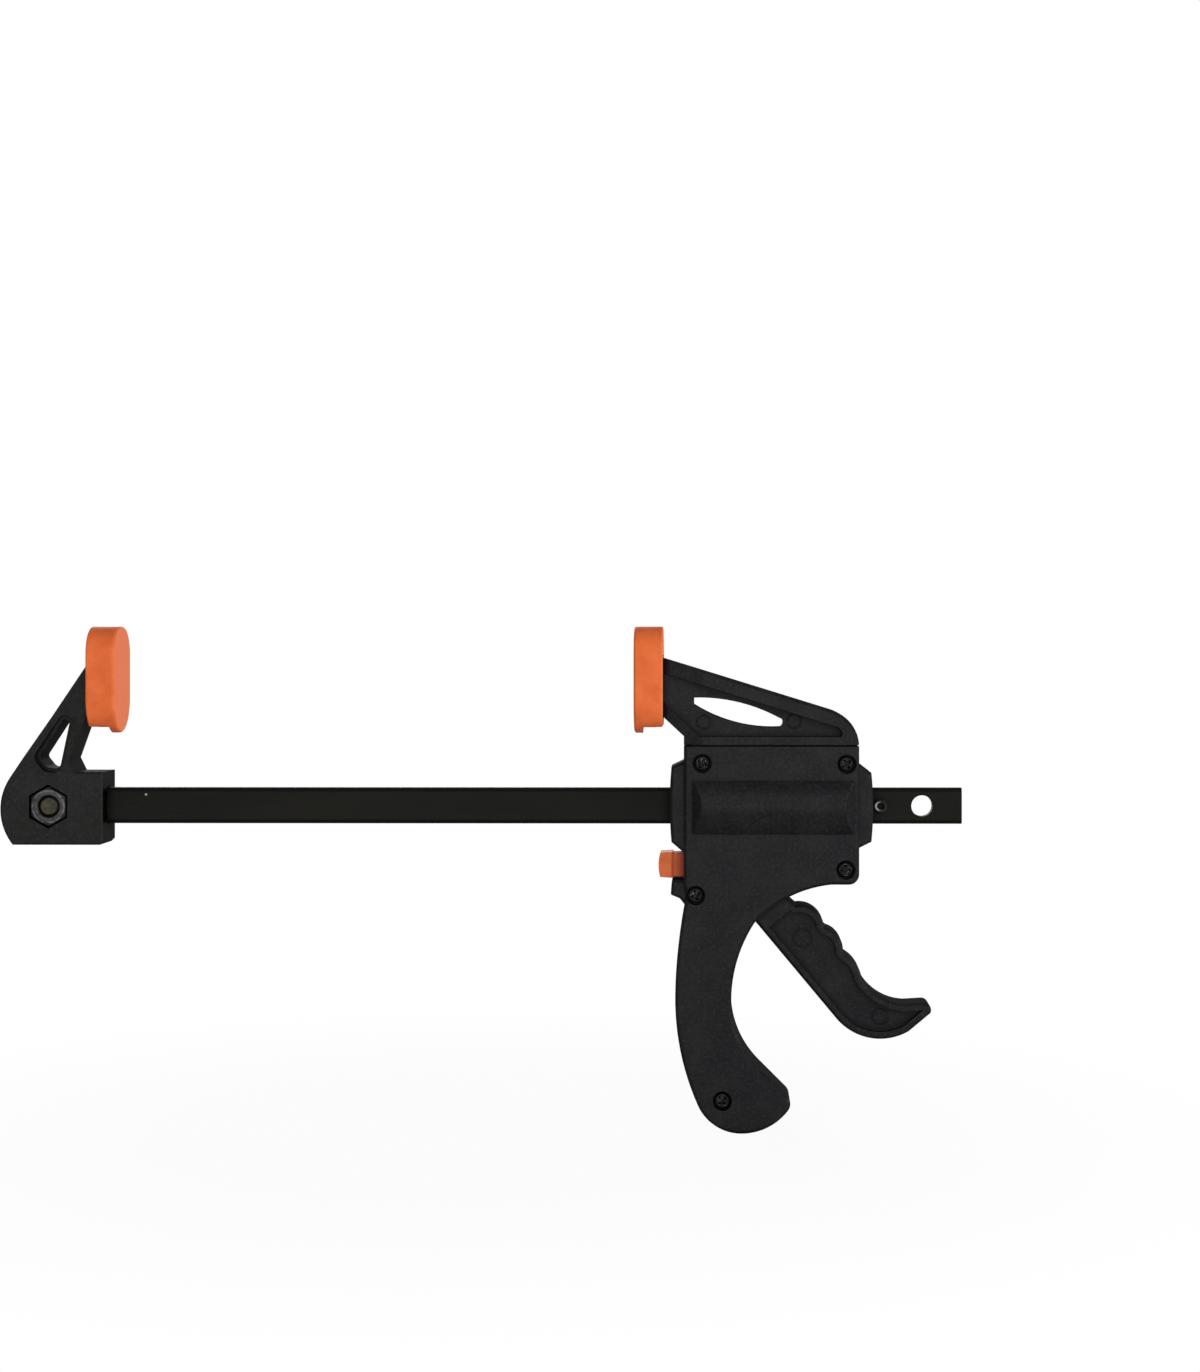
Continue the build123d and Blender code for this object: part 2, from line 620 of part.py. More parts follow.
def screw_holes():
    """Counterbores and holes for the housing screws."""
    seat = COUNTERBORE_DEPTH - WALL
    holes = []
    for place in SCREW_PLACES:
        holes.append(across(COUNTERBORE_DIAMETER, place, -FAR_OUTSIDE, seat))
        holes.append(across(SCREW_DIAMETER + 2 * PIN_FIT, place, seat, seat + SCREW_LENGTH))
    return holes


def housing():
    """Both housing halves as one piece."""
    pin_end = TRIGGER_THICKNESS / 2 + 2 * RUNNING + PIVOT_PIN_DEPTH
    outline = body_and_arm_outline() + grip_outline()
    shell = bevelled_slab(outline, HOUSING_THICKNESS, HOUSING_EDGE)
    for thinner in thinner_outlines():
        shell += bevelled_slab(thinner, HOUSING_THICKNESS - 2 * BARREL_STEP, HOUSING_EDGE)
    shell -= arm_taper()
    shell += bulge()
    shell += mirror(seated(end_plate(), 0), about=Plane.YZ)
    for side in (-1, 1):
        shell -= slab(arm_pocket_outline(), *sorted((side * ARM_WEB / 2, side * FAR_OUTSIDE)))
    shell -= centred_slab(lens_outline(), FAR_OUTSIDE)
    shell -= mechanism_rooms()
    shell -= grip_hollow()
    shell -= button_window()
    shell -= across(PIVOT_PIN_DIAMETER + 2 * PIN_FIT, PIVOT, -pin_end, pin_end)
    for hole in screw_holes():
        shell -= hole
    return shell


def cover_space(top):
    """Everything on the cover's side of the middle plane, up to a height."""
    space = block((0, FAR_OUTSIDE), FAR_OUTSIDE, (-2 * FAR_OUTSIDE, top))
    return Pos(0, -FAR_OUTSIDE / 2, 0) * space


def housing_screw(place):
    """Pan head screw with a cross recess."""
    seat = COUNTERBORE_DEPTH - WALL
    top = seat - SCREW_HEAD_HEIGHT
    head = across(SCREW_HEAD_DIAMETER, place, top, seat)
    head = fillet(head.edges().group_by(Axis.Y)[0], SCREW_HEAD_ROUND)
    cross = Box(*SCREW_CROSS) + Rot(0, 0, 90) * Box(*SCREW_CROSS)
    head -= Pos(place[0], top + SCREW_CROSS[2] / 2, place[1]) * Rot(90, 0, 0) * cross
    return head + across(SCREW_DIAMETER, place, seat, seat + SCREW_LENGTH - FIT)


# Mechanism

def drive_plate(index):
    """Steel plate around the bar that the trigger's nose pushes."""
    start = DRIVE_PLATE_START + index * DRIVE_PLATE_THICKNESS
    end = start + DRIVE_PLATE_THICKNESS
    return block((start, end), PLATE_WIDTH, DRIVE_PLATE_SPAN) - bar_room(start, end, RUNNING)


def lock_plate():
    """Steel plate that tilts on the bar and so keeps the jaw from sliding open."""
    half = LOCK_THICKNESS / 2
    plate = block((-half, half), PLATE_WIDTH, (-LOCK_BELOW, LOCK_ABOVE))
    half_hole = BAR_HEIGHT / 2 + LOCK_HOLE_PLAY
    hole_centre = -LOCK_HINGE[1]
    hole_span = (hole_centre - half_hole, hole_centre + half_hole)
    plate -= block((-half, half), BAR_THICKNESS + 2 * RUNNING, hole_span)
    return Pos(LOCK_HINGE[0], 0, LOCK_HINGE[1]) * Rot(0, LOCK_TILT, 0) * plate


def coil_spring(near, far, turns):
    """Coil spring around the bar between two seats."""
    length = far - near - SPRING_WIRE
    start = (near + SPRING_WIRE / 2, 0, 0)
    path = Helix(length / turns, length, SPRING_RADIUS, center=start, direction=(1, 0, 0))
    section = Plane(path @ 0, z_dir=path % 0) * RegularPolygon(SPRING_WIRE / 2, SPRING_SIDES)
    return sweep(section, path=path, is_frenet=True)


def trigger_pin():
    """Pivot pin, held in blind holes of the two housing halves."""
    half_length = TRIGGER_THICKNESS / 2 + 2 * RUNNING + PIVOT_PIN_DEPTH - FIT
    return across(PIVOT_PIN_DIAMETER, PIVOT, -half_length, half_length)


def release_button():
    """Button with a crowned head outside and ears behind the housing's wall."""
    length, width, height = BUTTON_HEAD
    head_end = BUTTON_FACE + length
    ears_start = BUTTON_ROOM_START + RUNNING + FIT
    ears_end = ears_start + BUTTON_EARS[0]
    half_height = height / 2
    half_face = BUTTON_FACE_HEIGHT / 2
    half_neck = BUTTON_NECK[1] / 2
    side = Polyline(
        (BUTTON_FACE + BUTTON_CROWN, -half_face),
        (head_end, -half_height),
        (head_end, half_height),
        (BUTTON_FACE + BUTTON_CROWN, half_face),
    )
    crown = ThreePointArc(side @ 1, (BUTTON_FACE, 0), side @ 0)
    head = centred_slab(make_face([*side.edges(), crown]), width)
    head = chamfer(head.edges().filter_by(Axis.Z), BUTTON_CROWN)
    neck_span = (-half_neck, half_neck)
    button = head + block((head_end, ears_end), BUTTON_NECK[0], neck_span)
    button += block((ears_start, ears_end), BUTTON_EARS[1], neck_span)
    return Pos(0, 0, BUTTON_CENTRE) * button


# Trigger

def trigger_blade_outline():
    """Trigger in its own axes, from its root to the hooked tip."""
    turn = radians(TRIGGER_ANGLE)
    reach_x = PIVOT[0] - TRIGGER_PLACE[0]
    reach_z = PIVOT[1] - TRIGGER_PLACE[1]
    pivot = (
        reach_x * cos(turn) - reach_z * sin(turn),
        reach_x * sin(turn) + reach_z * cos(turn),
    )
    back = Polyline(FINGER_VALLEYS[-1], pivot, *TRIGGER_ROOT, (TRIGGER_BACK_END, 0))
    heel = TangentArc((TRIGGER_BACK_END, 0), TRIGGER_HEEL, tangent=(1, 0))
    edges = [
        *back.edges(),
        heel,
        Line(TRIGGER_HEEL, TRIGGER_TIP[0]),
        ThreePointArc(*TRIGGER_TIP),
        Line(TRIGGER_TIP[2], TRIGGER_HOLLOW[0]),
        ThreePointArc(*TRIGGER_HOLLOW),
    ]
    for start, end, rise in zip(FINGER_VALLEYS, FINGER_VALLEYS[1:], FINGER_RISES):
        crest = ((start[0] + end[0]) / 2, (start[1] + end[1]) / 2 + rise)
        edges.append(ThreePointArc(start, crest, end))
    outline = make_face(edges)
    corners = outline.vertices()
    valleys = [corners.sort_by_distance((x, y, 0))[0] for x, y in FINGER_VALLEYS[1:-1]]
    return fillet(valleys, FINGER_ROUND)


def in_trigger_place(outline):
    """Turn an outline from the trigger's axes into the clamp's."""
    return Pos(*TRIGGER_PLACE) * Rot(0, 0, -TRIGGER_ANGLE) * outline


def trigger():
    """Finger lever with recessed sides, a boss on the pin and a nose behind the drive plates."""
    blade = trigger_blade_outline()
    pocket = offset(blade, -TRIGGER_RIM)
    pocket -= Pos(TRIGGER_POCKET_TOP - FAR_OUTSIDE / 2, 0) * Rectangle(FAR_OUTSIDE, FAR_OUTSIDE)
    nose = Pos(0, NOSE_HEIGHT) * Circle(NOSE_RADIUS)
    nose += Pos(0, NOSE_HEIGHT / 2) * Rectangle(2 * NOSE_RADIUS, NOSE_HEIGHT)
    root = Pos(*PIVOT) * (Circle(PIVOT_BOSS_RADIUS) + nose)
    lever = bevelled_slab(in_trigger_place(blade) + root, TRIGGER_THICKNESS, TRIGGER_EDGE)
    for side in (-1, 1):
        floor = side * TRIGGER_WEB / 2
        lever -= slab(in_trigger_place(pocket), *sorted((floor, side * FAR_OUTSIDE)))
    hole = PIVOT_PIN_DIAMETER + 2 * SHAFT_FIT
    return lever - across(hole, PIVOT, -FAR_OUTSIDE, FAR_OUTSIDE)


# Assembly

def bar_pieces():
    """Bar, fixed jaw and what stays on them."""
    return {
        "bar": bar(),
        "stop_pin_jaw_end": stop_pin(BAR_START + STOP_PIN_INSET),
        "stop_pin_free_end": stop_pin(FREE_STOP),
        "fixed_jaw": fixed_jaw(),
        "fixed_pad": seated(pad(), 0),
        "hex_nut": hex_nut(),
        "clamp_bolt": clamp_bolt(),
        "wing_knob": wing_knob(),
    }


def moving_pieces():
    """Moving jaw with the gripping mechanism, drawn with its pad's face at x = 0."""
    whole = housing()
    plates_end = DRIVE_PLATE_START + 2 * DRIVE_PLATE_THICKNESS
    lock_spring_start = LOCK_HINGE[0] + LOCK_THICKNESS / 2 + RUNNING
    return {
        "housing_front": whole - cover_space(PARTING_HEIGHT),
        "housing_cover": whole & cover_space(PARTING_HEIGHT - PARTING_GAP),
        "housing_screws": Compound(children=[housing_screw(place) for place in SCREW_PLACES]),
        "moving_pad": mirror(seated(pad(), 0), about=Plane.YZ),
        "trigger": trigger(),
        "trigger_pin": trigger_pin(),
        "release_button": release_button(),
        "drive_plate_1": drive_plate(0),
        "drive_plate_2": drive_plate(1),
        "drive_spring": coil_spring(plates_end, TUNNEL_FAR, DRIVE_SPRING_TURNS),
        "lock_plate": lock_plate(),
        "lock_spring": coil_spring(lock_spring_start, RIB_PLACE, LOCK_SPRING_TURNS),
    }


def write_parts(pieces, x):
    """Write each piece, moved by x along the bar, with the pads' centres at z = 0."""
    for name, piece in pieces.items():
        export_step(Pos(x, 0, -PAD_CENTRE) * piece, os.path.join("parts", name + ".step"))


os.makedirs("parts", exist_ok=True)
write_parts(bar_pieces(), 0)
write_parts(moving_pieces(), OPENING)
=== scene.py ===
from math import atan2, ceil, cos, pi, radians, sin, tan

import bmesh
import bpy
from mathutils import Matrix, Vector

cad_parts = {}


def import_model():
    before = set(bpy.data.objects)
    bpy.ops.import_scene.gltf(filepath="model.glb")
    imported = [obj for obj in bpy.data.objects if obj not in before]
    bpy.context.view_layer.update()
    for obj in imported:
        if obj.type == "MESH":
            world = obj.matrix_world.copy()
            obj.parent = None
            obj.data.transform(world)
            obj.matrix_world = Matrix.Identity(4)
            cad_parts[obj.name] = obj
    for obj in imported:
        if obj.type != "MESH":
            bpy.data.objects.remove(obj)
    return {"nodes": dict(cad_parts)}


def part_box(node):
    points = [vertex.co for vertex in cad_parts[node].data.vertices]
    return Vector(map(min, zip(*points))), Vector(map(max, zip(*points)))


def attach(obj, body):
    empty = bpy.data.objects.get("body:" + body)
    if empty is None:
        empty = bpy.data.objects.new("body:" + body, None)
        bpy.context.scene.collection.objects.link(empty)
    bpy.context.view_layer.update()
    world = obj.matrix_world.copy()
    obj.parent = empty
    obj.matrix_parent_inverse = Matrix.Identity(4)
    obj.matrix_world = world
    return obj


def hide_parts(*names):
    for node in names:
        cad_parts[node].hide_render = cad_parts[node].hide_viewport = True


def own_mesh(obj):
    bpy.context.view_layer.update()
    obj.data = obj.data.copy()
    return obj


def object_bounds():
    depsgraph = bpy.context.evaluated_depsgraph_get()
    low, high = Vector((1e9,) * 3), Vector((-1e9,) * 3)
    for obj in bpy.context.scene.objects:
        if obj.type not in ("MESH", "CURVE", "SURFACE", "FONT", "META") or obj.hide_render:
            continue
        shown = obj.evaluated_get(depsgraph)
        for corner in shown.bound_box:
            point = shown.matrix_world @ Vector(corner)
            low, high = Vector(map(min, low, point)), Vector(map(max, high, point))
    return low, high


MM = 0.001

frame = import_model()
cad_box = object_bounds()


# Node trees

class Shader:
    """One procedural material, built from short calls."""

    def __init__(self, name):
        self.material = bpy.data.materials.new(name)
        self.material.use_nodes = True
        self.tree = self.material.node_tree
        self.tree.nodes.clear()
        self.output = self.tree.nodes.new("ShaderNodeOutputMaterial")
        self.place = self.node("ShaderNodeTexCoord").outputs["Object"]

    def node(self, kind, inputs=None, **settings):
        """A node whose inputs take values or other nodes' outputs."""
        made = self.tree.nodes.new(kind)
        for name, value in settings.items():
            setattr(made, name, value)
        for name, value in (inputs or {}).items():
            self.feed(made.inputs[name], value)
        return made

    def feed(self, socket, value):
        """Link the socket to another node's output, or set it to a value."""
        if isinstance(value, bpy.types.NodeSocket):
            self.tree.links.new(value, socket)
        else:
            socket.default_value = value

    def math(self, operation, a, b=0.0, clamp=False):
        """Result of a Math node's operation."""
        made = self.node("ShaderNodeMath", operation=operation, use_clamp=clamp)
        self.feed(made.inputs[0], a)
        self.feed(made.inputs[1], b)
        return made.outputs[0]

    def stretched(self, scale):
        """Object coordinates with a scale for each axis."""
        mapping = self.node("ShaderNodeMapping", {"Vector": self.place})
        mapping.inputs["Scale"].default_value = scale
        return mapping.outputs[0]

    def noise(self, size, detail, roughness, place=None):
        """Noise whose grain is about size metres."""
        made = self.node(
            "ShaderNodeTexNoise",
            {"Vector": place or self.place, "Scale": 1 / size, "Detail": detail, "Roughness": roughness},
        )
        return made.outputs["Fac"]

    def span(self, value, low, high, to_low=0.0, to_high=1.0):
        """value, clamped and carried over from low..high to to_low..to_high."""
        made = self.node("ShaderNodeMapRange", {
            "Value": value, "From Min": low, "From Max": high, "To Min": to_low, "To Max": to_high})
        return made.outputs["Result"]

    def mix(self, factor, a, b):
        """Colour a at factor 0 and b at factor 1."""
        made = self.node("ShaderNodeMix", data_type="RGBA")
        self.feed(made.inputs["Factor"], factor)
        self.feed(made.inputs[6], a)
        self.feed(made.inputs[7], b)
        return made.outputs[2]

    def soft_edges(self, radius):
        """(rounded normal, mask of the edges) within radius metres of an edge."""
        rounded = self.node("ShaderNodeBevel", {"Radius": radius}, samples=6).outputs[0]
        true_normal = self.node("ShaderNodeNewGeometry").outputs["Normal"]
        dot = self.node("ShaderNodeVectorMath", operation="DOT_PRODUCT")
        self.feed(dot.inputs[0], rounded)
        self.feed(dot.inputs[1], true_normal)
        return rounded, self.span(dot.outputs["Value"], 0.995, 0.85)

    def openness(self, reach, low=0.25, high=0.95):
        """1 on open surfaces and down to 0 in corners and slots that are narrower than reach; the finishes
        paint shade by it.
        """
        found = self.node("ShaderNodeAmbientOcclusion", {"Distance": reach}, samples=6)
        return self.span(found.outputs["AO"], low, high)

    def from_axis(self, axis, middle):
        """Distance from a plane across one axis (0, 1 or 2)."""
        parts = self.node("ShaderNodeSeparateXYZ", {"Vector": self.place})
        return self.math("ABSOLUTE", self.math("SUBTRACT", parts.outputs[axis], middle))

    def from_point(self, point, along=(1, 1, 1)):
        """Distance from a point; an axis whose share in along is 0 doesn't count."""
        flat = self.node("ShaderNodeVectorMath", operation="MULTIPLY")
        self.feed(flat.inputs[0], self.place)
        flat.inputs[1].default_value = along
        away = self.node("ShaderNodeVectorMath", operation="DISTANCE")
        self.feed(away.inputs[0], flat.outputs["Vector"])
        away.inputs[1].default_value = [c * share for c, share in zip(point, along)]
        return away.outputs["Value"]

    def bump(self, height, depth, strength, normal):
        """normal, roughened by a height map of that depth in metres."""
        made = self.node("ShaderNodeBump", {
            "Height": height, "Distance": depth, "Strength": strength, "Normal": normal})
        return made.outputs[0]

    def finish(self, colour, roughness, normal, **constants):
        """The finished material; constants are Principled inputs with _ for each space."""
        surface = self.node("ShaderNodeBsdfPrincipled", {
            "Base Color": colour, "Roughness": roughness, "Normal": normal})
        for name, value in constants.items():
            surface.inputs[name.replace("_", " ")].default_value = value
        if "Coat_Weight" in constants:
            self.feed(surface.inputs["Coat Normal"], normal)
        self.tree.links.new(surface.outputs[0], self.output.inputs[0])
        return self.material


def grey(value):
    """Cool grey of that linear brightness."""
    return (value, value, value * 1.03, 1)


# Finishes, painted at these places of the object

BAR_AXIS = -36.7 * MM
SOCKET_MOUTH = -3.9 * MM          # fixed jaw's side, where the bar comes out
BAR_FLAT = 3.9 * MM               # half height of the bar's flat sides
BAR_CHIP = (7.4 * MM, -2 * MM, -33.5 * MM)
NUT_AXIS = (-19.8 * MM, 0, BAR_AXIS)
BUTTON_NECK = 161.35 * MM         # back of the release button's head; painted shade darkens the neck behind it
FREE_PIN_AXIS = (221.6 * MM, 0, BAR_AXIS)
PIN_BORE_MOUTH = 2.95 * MM        # painted shade makes the pins black nearer the clamp's middle plane than this


def nylon():
    """Glass-filled nylon: warm on the fixed jaw and paler along its edges, with painted shade in its corners
    and beside the bar on the fixed jaw's side.
    """
    s = Shader("nylon_finish")
    rounded, edges = s.soft_edges(0.3 * MM)
    cloud = s.noise(9 * MM, 4, 0.65)
    parts = s.node("ShaderNodeSeparateXYZ", {"Vector": s.place})
    cool = s.math("ADD", parts.outputs[0], s.span(s.noise(26 * MM, 2, 0.5), 0.3, 0.7, -0.05, 0.05))
    grain = s.noise(0.32 * MM, 2, 0.6)
    flecks = s.noise(0.9 * MM, 3, 0.7)
    colour = s.mix(s.span(cool, 0.0, 0.2), (0.0082, 0.0078, 0.0066, 1), (0.0066, 0.0066, 0.0082, 1))
    colour = s.mix(s.span(cloud, 0.42, 0.7), colour, (0.0135, 0.0132, 0.0138, 1))
    colour = s.mix(s.span(flecks, 0.48, 0.72, 0, 0.85), colour, (0.022, 0.0222, 0.0225, 1))
    bright_edges = s.math("MULTIPLY", edges, s.span(flecks, 0.35, 0.65, 0.1, 0.55))
    colour = s.mix(bright_edges, colour, (0.03, 0.03, 0.032, 1))
    # painted shade: black in a band beside the bar, on the fixed jaw's side where the bar comes out
    bar_shade_band = s.span(s.from_axis(2, BAR_AXIS), 5.4 * MM, 4.4 * MM)
    socket = s.span(s.from_axis(0, SOCKET_MOUTH), 0.2 * MM, 0.1 * MM)
    colour = s.mix(s.math("MULTIPLY", bar_shade_band, socket), colour, (0.001, 0.001, 0.001, 1))
    # painted shade, darkening corners and slots narrower than 2.2 mm
    colour = s.mix(s.openness(2.2 * MM, 0.4, 1.0), (0.001, 0.001, 0.0012, 1), colour)
    roughness = s.span(grain, 0.3, 0.7, 0.5, 0.64)
    normal = s.bump(grain, 0.03 * MM, 0.5, rounded)
    return s.finish(colour, roughness, normal, Specular_IOR_Level=0.0, Coat_Weight=0.04,
                    Coat_Roughness=0.38, Coat_IOR=2.0)


def bar_paint():
    """Black steel strip with painted shade on its rolled edges and in hollows, faint marks along its length
    and a small chip.
    """
    s = Shader("bar_finish")
    rounded, edges = s.soft_edges(0.3 * MM)
    along = s.stretched((0.04, 1, 1))
    lines = s.noise(0.4 * MM, 3, 0.7, along)
    cloud = s.noise(14 * MM, 2, 0.5, s.stretched((0.25, 1, 1)))
    specks = s.noise(0.9 * MM, 1, 0.5)
    colour = s.mix(s.span(cloud, 0.3, 0.7), (0.0066, 0.0066, 0.0052, 1), (0.0105, 0.01, 0.0082, 1))
    colour = s.mix(s.span(lines, 0.5, 0.8, 0, 0.6), colour, (0.0175, 0.017, 0.014, 1))
    # painted shade: darker bands on the rounded top and bottom edges
    edge_shade_band = s.span(s.from_axis(2, BAR_AXIS), BAR_FLAT, BAR_FLAT + 0.35 * MM)
    colour = s.mix(edge_shade_band, colour, (0.0026, 0.0024, 0.0018, 1))
    bright_edges = s.math("MULTIPLY", edges, s.span(specks, 0.64, 0.72, 0, 0.7))
    colour = s.mix(bright_edges, colour, (0.09, 0.085, 0.08, 1))
    colour = s.mix(s.span(s.from_point(BAR_CHIP), 0.42 * MM, 0.2 * MM), colour, (0.42, 0.4, 0.38, 1))
    # painted shade where the bar is hemmed in, as where it goes into the fixed jaw
    colour = s.mix(s.openness(3 * MM), (0.001, 0.001, 0.001, 1), colour)
    roughness = s.span(lines, 0.3, 0.7, 0.5, 0.62)
    normal = s.bump(lines, 0.012 * MM, 0.5, rounded)
    return s.finish(colour, roughness, normal, Specular_IOR_Level=0.045)


def bare_steel(name, dark, bright, roughness):
    """Turned or sheared steel, brighter along its edges."""
    s = Shader(name)
    rounded, edges = s.soft_edges(0.2 * MM)
    cloud = s.noise(2.5 * MM, 3, 0.6)
    grain = s.noise(0.25 * MM, 2, 0.6, s.stretched((0.2, 1, 1)))
    colour = s.mix(s.span(cloud, 0.3, 0.7), grey(dark * 0.75), grey(dark))
    colour = s.mix(s.math("MULTIPLY", edges, 0.85), colour, grey(bright))
    rough = s.span(grain, 0.3, 0.7, roughness - 0.06, roughness + 0.08)
    return s.finish(colour, rough, s.bump(grain, 0.008 * MM, 0.5, rounded), Metallic=0.9)


def pin_steel():
    """Black pins with painted shade in their bore and a painted highlight in a crescent beside the free end
    pin's bore.
    """
    s = Shader("pin_finish")
    rounded, edges = s.soft_edges(0.15 * MM)
    cloud = s.noise(0.9 * MM, 2, 0.6)
    colour = s.mix(s.span(cloud, 0.35, 0.65), grey(0.006), grey(0.016))
    bright_edges = s.math("MULTIPLY", edges, s.span(cloud, 0.5, 0.6, 0.05, 0.5))
    colour = s.mix(bright_edges, colour, grey(0.2))
    x, y, z = FREE_PIN_AXIS
    # painted highlight: a bright crescent at one side of the free end pin's bore
    inside = s.span(s.from_point((x - 0.35 * MM, y, z), (1, 0, 1)), 1.35 * MM, 1.1 * MM)
    outside = s.span(s.from_point((x + 0.15 * MM, y, z), (1, 0, 1)), 1.0 * MM, 1.2 * MM)
    colour = s.mix(s.math("MULTIPLY", inside, outside), colour, grey(0.34))
    # painted shade: black inside the bore
    colour = s.mix(s.span(s.from_axis(1, 0), PIN_BORE_MOUTH, PIN_BORE_MOUTH - 0.3 * MM), colour, grey(0.001))
    rough = s.span(cloud, 0.3, 0.7, 0.4, 0.55)
    return s.finish(colour, rough, s.bump(cloud, 0.01 * MM, 0.5, rounded), Specular_IOR_Level=0.06)


def zinc():
    """Dull stained plating, with a painted highlight in a ring on the nut's face and painted shade on its
    cut corners, in its bore and in hollows.
    """
    s = Shader("zinc_finish")
    rounded, edges = s.soft_edges(0.25 * MM)
    cloud = s.noise(1.3 * MM, 3, 0.65)
    grain = s.noise(0.2 * MM, 2, 0.6)
    colour = s.mix(s.span(cloud, 0.35, 0.65), (0.022, 0.02, 0.02, 1), (0.062, 0.058, 0.06, 1))
    colour = s.mix(s.math("MULTIPLY", edges, 0.6), colour, (0.17, 0.16, 0.165, 1))
    radius = s.from_point(NUT_AXIS, (1, 0, 1))
    # painted highlight: a pale ring just inside the nut's cut corners
    rim_highlight = s.math("MULTIPLY", s.span(radius, 4.2 * MM, 4.5 * MM), s.span(cloud, 0.4, 0.62, 0, 0.9))
    colour = s.mix(rim_highlight, colour, (0.15, 0.14, 0.145, 1))
    # painted shade on the cut corners and flats
    colour = s.mix(s.span(radius, 4.75 * MM, 4.9 * MM), colour, (0.016, 0.015, 0.015, 1))
    # painted shade in the bore
    colour = s.mix(s.span(radius, 3.35 * MM, 3.15 * MM), colour, (0.002, 0.002, 0.002, 1))
    # painted shade in hollows narrower than 1.6 mm
    colour = s.mix(s.openness(1.6 * MM, 0.35, 0.85), (0.003, 0.003, 0.003, 1), colour)
    rough = s.span(cloud, 0.3, 0.7, 0.45, 0.62)
    return s.finish(colour, rough, s.bump(grain, 0.012 * MM, 0.5, rounded), Metallic=0.3,
                    Specular_IOR_Level=0.15)


def stud_steel():
    """Dull olive passivated steel, with painted shade in its thread's grooves and where it is hemmed in."""
    s = Shader("stud_finish")
    rounded, _ = s.soft_edges(0.15 * MM)
    cloud = s.noise(1.0 * MM, 3, 0.6)
    colour = s.mix(s.span(cloud, 0.38, 0.62), (0.018, 0.016, 0.008, 1), (0.05, 0.045, 0.025, 1))
    # painted shade in the thread's grooves and inside the nut
    colour = s.mix(s.openness(1.2 * MM, 0.3, 0.75), (0.002, 0.002, 0.0015, 1), colour)
    rough = s.span(cloud, 0.3, 0.7, 0.45, 0.6)
    return s.finish(colour, rough, s.bump(cloud, 0.04 * MM, 0.6, rounded), Metallic=0.3,
                    Specular_IOR_Level=0.2)


def screw_black():
    """Black oxide screws with painted glints on a few of their edges and painted shade in their recesses."""
    s = Shader("screw_finish")
    rounded, edges = s.soft_edges(0.12 * MM)
    cloud = s.noise(1.1 * MM, 2, 0.6)
    grain = s.noise(0.15 * MM, 2, 0.6)
    colour = s.mix(s.span(cloud, 0.35, 0.65), grey(0.004), grey(0.01))
    # painted highlight: bright glints on a few edges
    bright_edges = s.math("MULTIPLY", edges, s.span(cloud, 0.5, 0.56, 0.05, 1))
    colour = s.mix(bright_edges, colour, grey(0.65))
    # painted shade in the cross recess and where the heads are hemmed in
    colour = s.mix(s.openness(1.2 * MM, 0.3, 0.8), grey(0.001), colour)
    rough = s.span(grain, 0.3, 0.7, 0.3, 0.42)
    return s.finish(colour, rough, s.bump(grain, 0.008 * MM, 0.5, rounded), Specular_IOR_Level=0.06)


def orange(name, deep, light, roughness, grain_size, face=0.0, reach=2.5 * MM, neck=None):
    """Orange moulding, mottled and paler along its edges, with painted sheen on its end faces and painted
    shade in its corners.

    face is how strong the painted sheen on its end faces is, reach the width of its painted corner shade, in
    metres, and neck the x past which painted shade darkens it.
    """
    s = Shader(name)
    rounded, edges = s.soft_edges(0.35 * MM)
    cloud = s.noise(5 * MM, 3, 0.55)
    grain = s.noise(grain_size, 2, 0.6)
    smear = s.noise(1.4 * MM, 2, 0.6)
    colour = s.mix(s.span(cloud, 0.35, 0.65), deep, light)
    colour = s.mix(s.span(smear, 0.62, 0.8, 0, 0.35), colour, tuple(0.8 * c for c in deep[:3]) + (1,))
    normal_parts = s.node("ShaderNodeSeparateXYZ", {
        "Vector": s.node("ShaderNodeTexCoord").outputs["Normal"]})
    # painted sheen: paler end faces, a painted reflection of the white surroundings
    faces = s.span(s.math("ABSOLUTE", normal_parts.outputs[0]), 0.8, 0.97, 0, face)
    grainy_sheen = s.math("ADD", faces, s.span(grain, 0.3, 0.7, -0.25 * face, 0.25 * face), clamp=True)
    sheen_colour = tuple(min(1, c + add) for c, add in zip(light[:3], (0.14, 0.07, 0.055))) + (1,)
    colour = s.mix(s.math("MULTIPLY", grainy_sheen, faces), colour, sheen_colour)
    bright = tuple(min(1, 1.08 * c + 0.03) for c in light[:3]) + (1,)
    colour = s.mix(s.math("MULTIPLY", edges, 0.5), colour, bright)
    shade = (0.45 * deep[0], 0.28 * deep[1], 0.25 * deep[2], 1)
    # painted shade on the button's neck, which lies in the housing's shadow
    if neck is not None:
        parts = s.node("ShaderNodeSeparateXYZ", {"Vector": s.place})
        along = s.span(parts.outputs[0], neck, neck + 2.6 * MM, 0.35, 0.9)
        behind = s.math("GREATER_THAN", parts.outputs[0], neck)
        colour = s.mix(s.math("MULTIPLY", behind, along), colour, shade)
    # painted shade in corners narrower than reach
    colour = s.mix(s.openness(reach, 0.3, 0.9), shade, colour)
    rough = s.span(grain, 0.3, 0.7, roughness - 0.06, roughness + 0.08)
    normal = s.bump(grain, 0.04 * MM, 0.6, rounded)
    return s.finish(colour, rough, normal, Specular_IOR_Level=0.16)


